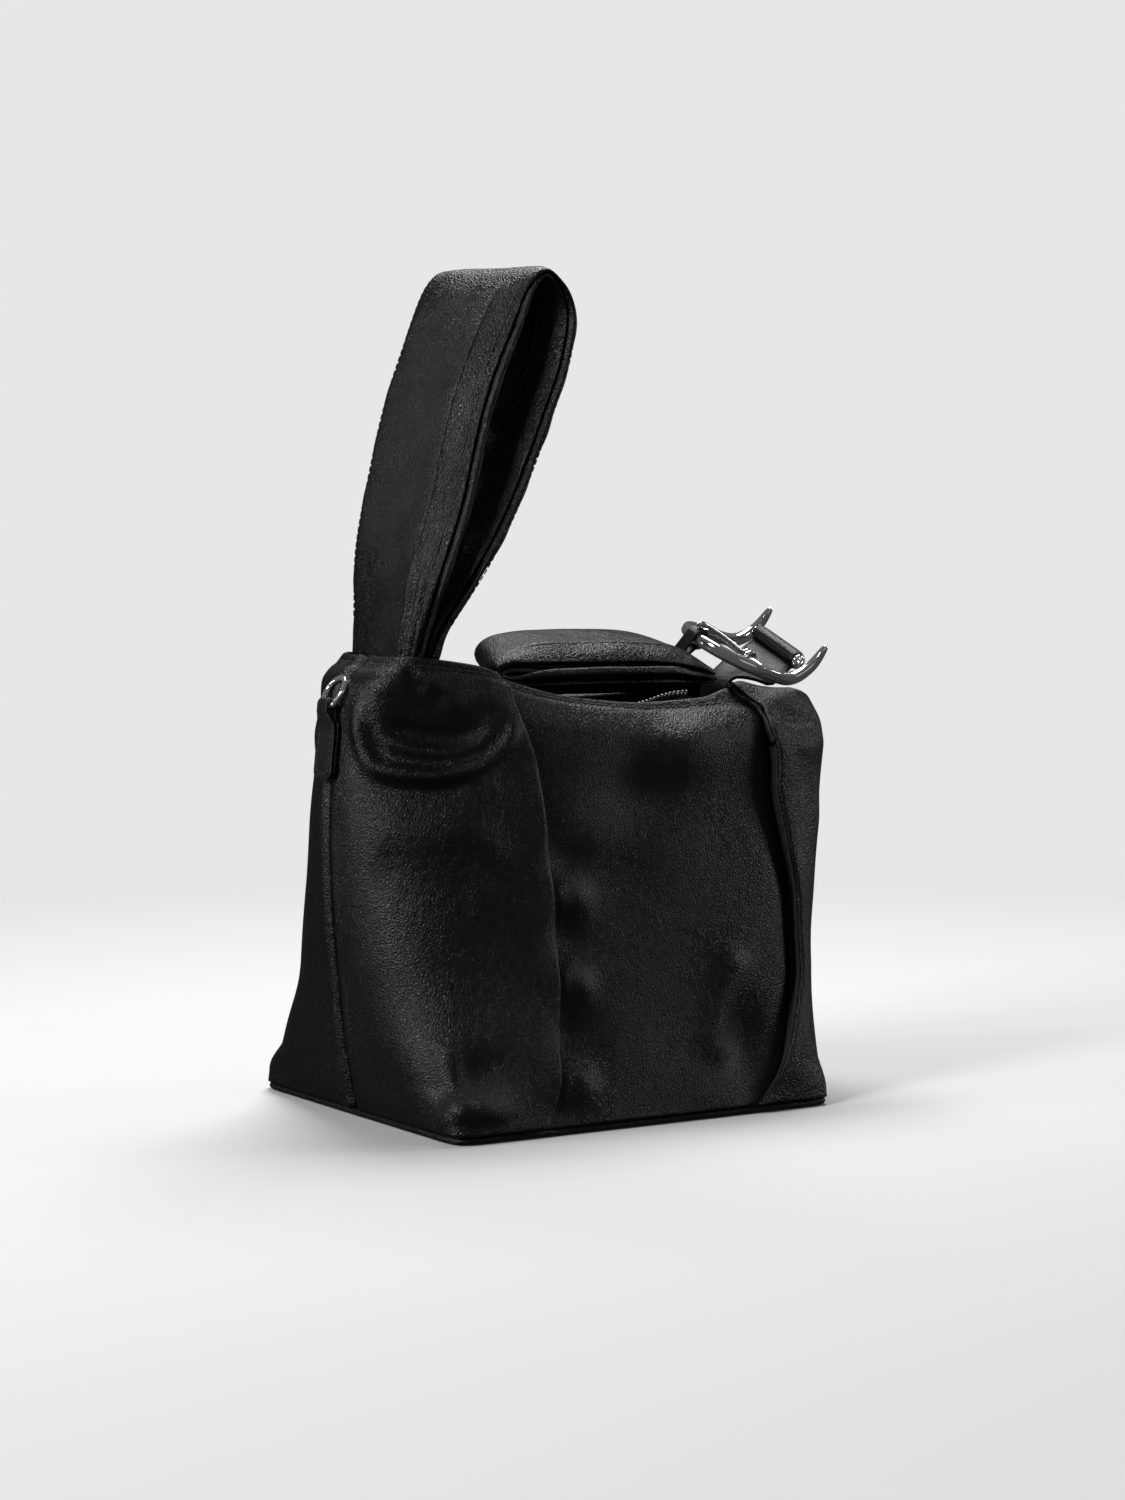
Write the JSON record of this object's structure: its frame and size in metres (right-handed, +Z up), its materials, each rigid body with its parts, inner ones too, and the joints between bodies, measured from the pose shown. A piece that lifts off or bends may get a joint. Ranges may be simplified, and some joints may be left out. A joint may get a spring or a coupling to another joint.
{
  "type": "leather handbag",
  "caption": "Small soft black leather handbag with a tall padded loop handle at one end, a short padded loop folded over the open zip mouth, a chrome horned buckle and end D-rings.",
  "frame": {"origin": "middle of the base's underside, on the surface the bag stands on", "axes": "+Z up, +X along the bag's length from the tall handle's end to the buckle's end, front face towards -Y"},
  "size_m": [0.2571, 0.1784, 0.3744],
  "materials": {
    "black_leather": "pebbled, soft semi-gloss",
    "strap_leather": "pebbled, soft semi-gloss",
    "trim_leather": "fine grain, semi-matte",
    "foam": "soft matte padding",
    "board": "matte fibre board",
    "lining": "matte woven",
    "chrome": "polished",
    "zip_metal": "dark satin",
    "zip_tape": "matte woven"
  },
  "bodies": {
    "bag": {"front_panel": "black_leather", "back_panel": "black_leather", "front_facing": "trim_leather", "back_facing": "trim_leather", "front_lining": "lining", "back_lining": "lining", "slip_pocket": "lining", "base_panel": "black_leather", "base_board": "board", "base_lining": "lining", "long_handle_anchor": "trim_leather", "buckle_chape": "trim_leather", "left_ring_tab": "trim_leather", "right_ring_tab": "trim_leather", "front_zip_teeth": "zip_metal", "front_zip_tape": "zip_tape", "back_zip_teeth": "zip_metal", "back_zip_tape": "zip_tape", "zip_slider": "zip_metal"},
    "long_handle": {"long_handle_sleeve": "strap_leather", "long_handle_core": "foam"},
    "buckle": {"buckle_frame": "chrome", "buckle_upper_bar": "chrome", "buckle_lower_bar": "chrome"},
    "tongue": {"buckle_tongue": "chrome"},
    "short_handle": {"short_handle_sleeve": "strap_leather", "short_handle_core": "foam", "short_handle_loop": "trim_leather"},
    "left_ring": {"left_d_ring": "chrome"},
    "right_ring": {"right_d_ring": "chrome"},
    "zip_puller": {"zip_puller": "zip_metal"}
  },
  "joints": [
    {"name": "long_handle_hinge", "type": "hinge", "parent": "bag", "child": "long_handle", "pos_m": [-0.0845, 0, 0.2042], "axis": [0, 1, 0], "range_deg": [-115, 14]},
    {"name": "buckle_hinge", "type": "hinge", "parent": "bag", "child": "buckle", "pos_m": [0.1302, 0, 0.202], "axis": [0.0125, 0.94, 0.3408], "range_deg": [0, 90]},
    {"name": "tongue_hinge", "type": "hinge", "parent": "buckle", "child": "tongue", "pos_m": [0.11425, 0.00186, 0.19747], "axis": [0.0125, 0.94, 0.3408], "range_deg": [0, 90]},
    {"name": "short_handle_hinge", "type": "hinge", "parent": "buckle", "child": "short_handle", "pos_m": [0.08304, -0.00143, 0.20767], "axis": [0.0125, 0.94, 0.3408], "range_deg": [0, 55]},
    {"name": "left_ring_hinge", "type": "hinge", "parent": "bag", "child": "left_ring", "pos_m": [-0.1115, 0, 0.183], "axis": [0, 1, 0], "range_deg": [-150, 0]},
    {"name": "right_ring_hinge", "type": "hinge", "parent": "bag", "child": "right_ring", "pos_m": [0.1392, 0, 0.16], "axis": [0, 1, 0], "range_deg": [0, 150]},
    {"name": "zip_puller_hinge", "type": "hinge", "parent": "bag", "child": "zip_puller", "pos_m": [-0.046, 0, 0.1909], "axis": [0, 1, 0], "range_deg": [0, 100]}
  ]
}
